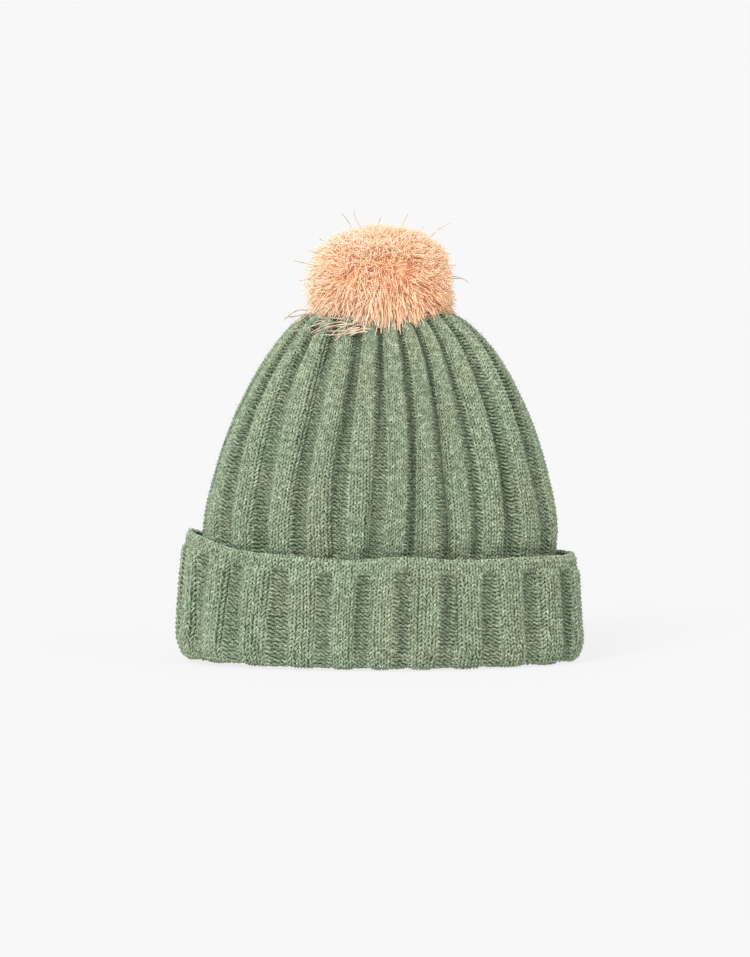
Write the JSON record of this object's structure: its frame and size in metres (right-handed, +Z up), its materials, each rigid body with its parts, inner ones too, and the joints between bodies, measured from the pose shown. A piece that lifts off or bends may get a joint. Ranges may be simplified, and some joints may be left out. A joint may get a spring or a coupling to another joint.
{
  "type": "pom pom beanie",
  "caption": "Rib-knit winter hat with a deep turned-up cuff, a gathered top and a yarn pom pom tied through it.",
  "frame": {"origin": "middle of the plane that the folded cuff stands on", "axes": "+Z up through the pom pom; the front faces -Y and the back seam is at +Y; the wide way across is X"},
  "size_m": [0.2248, 0.1248, 0.2425],
  "materials": {
    "rib_knit": "matte",
    "linking_yarn": "matte",
    "pom_yarn": "matte",
    "tie_yarn": "matte",
    "label_tape": "satin",
    "sewing_thread": "matte"
  },
  "bodies": {
    "crown": {"crown_shell": "rib_knit", "back_seam": "linking_yarn", "gather_yarn": "linking_yarn", "label_stitches": "sewing_thread"},
    "cuff": {"turn_up_cuff": "rib_knit"},
    "knot": {"anchor_knot": "tie_yarn"},
    "shank": {"pom_shank": "tie_yarn"},
    "pom": {"pom_tuft": "pom_yarn", "pom_waist_tie": "tie_yarn"},
    "label": {"care_label": "label_tape"}
  },
  "joints": [
    {"name": "cuff_turn_down", "type": "slide", "parent": "crown", "child": "cuff", "axis": [0, 0, 1], "range_m": [-0.052, 0]},
    {"name": "pom_twist", "type": "hinge", "parent": "crown", "child": "knot", "pos_m": [0, 0, 0.18], "axis": [0, 0, 1], "range_deg": [-40, 40], "stiffness_Nm_per_rad": 0.01},
    {"name": "pom_tilt_fore_aft", "type": "hinge", "parent": "knot", "child": "shank", "pos_m": [0, 0, 0.18], "axis": [1, 0, 0], "range_deg": [-5, 5], "stiffness_Nm_per_rad": 0.06},
    {"name": "pom_tilt_sideways", "type": "hinge", "parent": "shank", "child": "pom", "pos_m": [0, 0, 0.18], "axis": [0, 1, 0], "range_deg": [-5, 5], "stiffness_Nm_per_rad": 0.06},
    {"name": "label_swing", "type": "hinge", "parent": "crown", "child": "label", "pos_m": [0, 0.04469, 0.05], "axis": [-1, 0, 0], "range_deg": [0, 70]}
  ]
}
